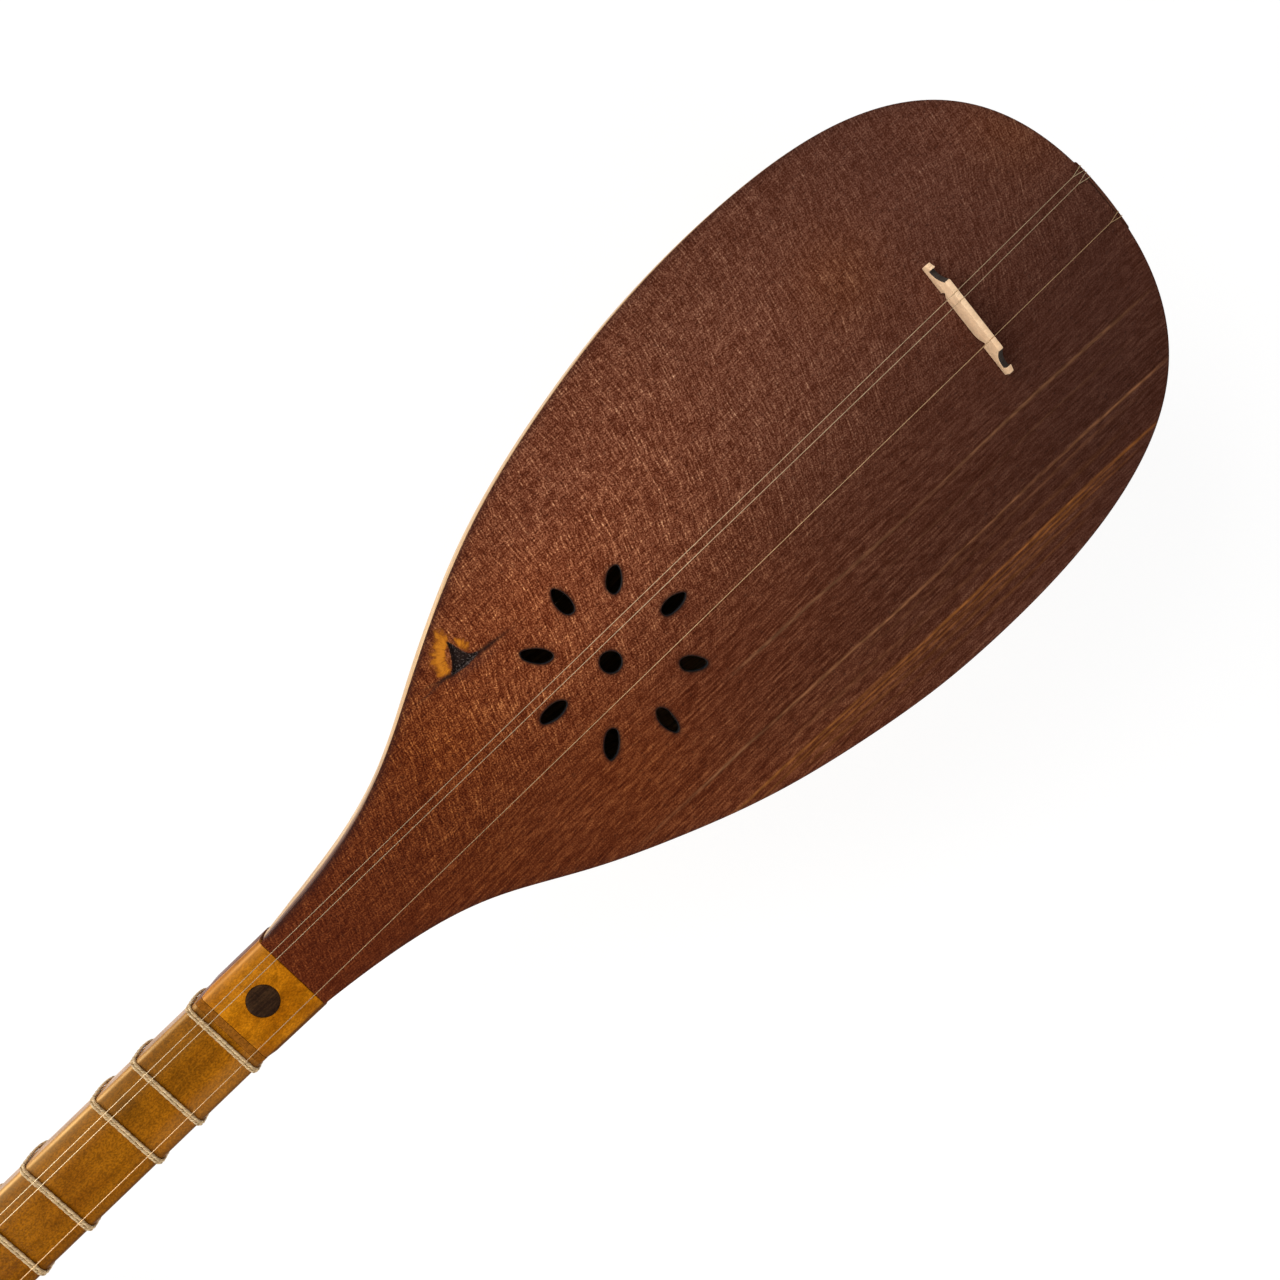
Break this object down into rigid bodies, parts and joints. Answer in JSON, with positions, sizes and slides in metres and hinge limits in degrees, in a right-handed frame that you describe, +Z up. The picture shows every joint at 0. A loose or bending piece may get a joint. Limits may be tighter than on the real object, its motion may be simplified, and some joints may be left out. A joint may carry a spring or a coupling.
{
  "type": "tanbur",
  "caption": "Long-necked plucked lute with a ribbed pear-shaped bowl, a flat soundboard with a ring of sound holes, tied gut frets, turning pegs and a loose bridge.",
  "frame": {"origin": "on the ground, under the middle of the box of the instrument lying on its back", "axes": "+Y from the tail towards the head, +Z up, out of the soundboard side, +X towards the paired strings"},
  "size_m": [0.1616, 0.8942, 0.1364],
  "materials": {
    "mulberry_board": "dark red-brown oiled mulberry, satin",
    "mulberry_rib": "golden mulberry staves, satin varnish",
    "neck_walnut": "honey-brown varnished hardwood",
    "plate_apricot": "pale orange fruitwood, satin",
    "dot_walnut": "dark walnut inlay",
    "inner_block": "bare softwood",
    "bridge_maple": "bare pale hardwood",
    "tailpiece_walnut": "dark walnut, satin",
    "nut_bone": "bone, polished",
    "peg_walnut": "dark turned walnut",
    "string_steel": "plain steel wire",
    "string_bronze": "bronze wire",
    "fret_gut": "twisted gut"
  },
  "bodies": {
    "body": {"bowl_rib_1": "mulberry_rib", "bowl_rib_2": "mulberry_rib", "bowl_rib_3": "mulberry_rib", "bowl_rib_4": "mulberry_rib", "bowl_rib_5": "mulberry_rib", "bowl_rib_6": "mulberry_rib", "bowl_rib_7": "mulberry_rib", "soundboard": "mulberry_board", "neck_block": "neck_walnut", "tail_block": "inner_block", "joint_plate": "plate_apricot", "inlay_dot": "dot_walnut", "neck": "neck_walnut", "nut": "nut_bone", "tailpiece": "tailpiece_walnut", "head": "neck_walnut", "string_1": "string_steel", "string_2": "string_steel", "string_3": "string_bronze"},
    "peg_1": {"peg_1": "peg_walnut", "winding_1": "string_steel"},
    "peg_2": {"peg_2": "peg_walnut", "winding_2": "string_steel"},
    "peg_3": {"peg_3": "peg_walnut", "winding_3": "string_bronze"},
    "bridge": {"bridge": "bridge_maple"},
    "fret_01": {"fret_01": "fret_gut"},
    "fret_02": {"fret_02": "fret_gut"},
    "fret_03": {"fret_03": "fret_gut"},
    "fret_04": {"fret_04": "fret_gut"},
    "fret_05": {"fret_05": "fret_gut"},
    "fret_06": {"fret_06": "fret_gut"},
    "fret_07": {"fret_07": "fret_gut"},
    "fret_08": {"fret_08": "fret_gut"},
    "fret_09": {"fret_09": "fret_gut"},
    "fret_10": {"fret_10": "fret_gut"},
    "fret_11": {"fret_11": "fret_gut"},
    "fret_12": {"fret_12": "fret_gut"},
    "fret_13": {"fret_13": "fret_gut"},
    "fret_14": {"fret_14": "fret_gut"}
  },
  "joints": [
    {"name": "peg_1_turn", "type": "hinge", "parent": "body", "child": "peg_1", "pos_m": [0.004, 0.40348, 0.02314], "axis": [0, 0.1296, 0.9916], "continuous": true},
    {"name": "peg_2_turn", "type": "hinge", "parent": "body", "child": "peg_2", "pos_m": [0.0015, 0.37373, 0.02702], "axis": [0, 0.1296, 0.9916], "continuous": true},
    {"name": "peg_3_turn", "type": "hinge", "parent": "body", "child": "peg_3", "pos_m": [-0.01203, 0.38852, 0.01672], "axis": [-1, 0, 0], "continuous": true},
    {"name": "bridge_shift", "type": "slide", "parent": "body", "child": "bridge", "axis": [0, 0.9916, -0.1296], "range_m": [-0.0015, 0.002]},
    {"name": "fret_01_shift", "type": "slide", "parent": "body", "child": "fret_01", "axis": [0, 0.9916, -0.1296], "range_m": [-0.004, 0.004]},
    {"name": "fret_02_shift", "type": "slide", "parent": "body", "child": "fret_02", "axis": [0, 0.9916, -0.1296], "range_m": [-0.004, 0.004]},
    {"name": "fret_03_shift", "type": "slide", "parent": "body", "child": "fret_03", "axis": [0, 0.9916, -0.1296], "range_m": [-0.004, 0.004]},
    {"name": "fret_04_shift", "type": "slide", "parent": "body", "child": "fret_04", "axis": [0, 0.9916, -0.1296], "range_m": [-0.004, 0.004]},
    {"name": "fret_05_shift", "type": "slide", "parent": "body", "child": "fret_05", "axis": [0, 0.9916, -0.1296], "range_m": [-0.004, 0.004]},
    {"name": "fret_06_shift", "type": "slide", "parent": "body", "child": "fret_06", "axis": [0, 0.9916, -0.1296], "range_m": [-0.004, 0.004]},
    {"name": "fret_07_shift", "type": "slide", "parent": "body", "child": "fret_07", "axis": [0, 0.9916, -0.1296], "range_m": [-0.004, 0.004]},
    {"name": "fret_08_shift", "type": "slide", "parent": "body", "child": "fret_08", "axis": [0, 0.9916, -0.1296], "range_m": [-0.004, 0.004]},
    {"name": "fret_09_shift", "type": "slide", "parent": "body", "child": "fret_09", "axis": [0, 0.9916, -0.1296], "range_m": [-0.004, 0.004]},
    {"name": "fret_10_shift", "type": "slide", "parent": "body", "child": "fret_10", "axis": [0, 0.9916, -0.1296], "range_m": [-0.004, 0.004]},
    {"name": "fret_11_shift", "type": "slide", "parent": "body", "child": "fret_11", "axis": [0, 0.9916, -0.1296], "range_m": [-0.004, 0.004]},
    {"name": "fret_12_shift", "type": "slide", "parent": "body", "child": "fret_12", "axis": [0, 0.9916, -0.1296], "range_m": [-0.004, 0.004]},
    {"name": "fret_13_shift", "type": "slide", "parent": "body", "child": "fret_13", "axis": [0, 0.9916, -0.1296], "range_m": [-0.004, 0.004]},
    {"name": "fret_14_shift", "type": "slide", "parent": "body", "child": "fret_14", "axis": [0, 0.9916, -0.1296], "range_m": [-0.003, 0.004]}
  ]
}
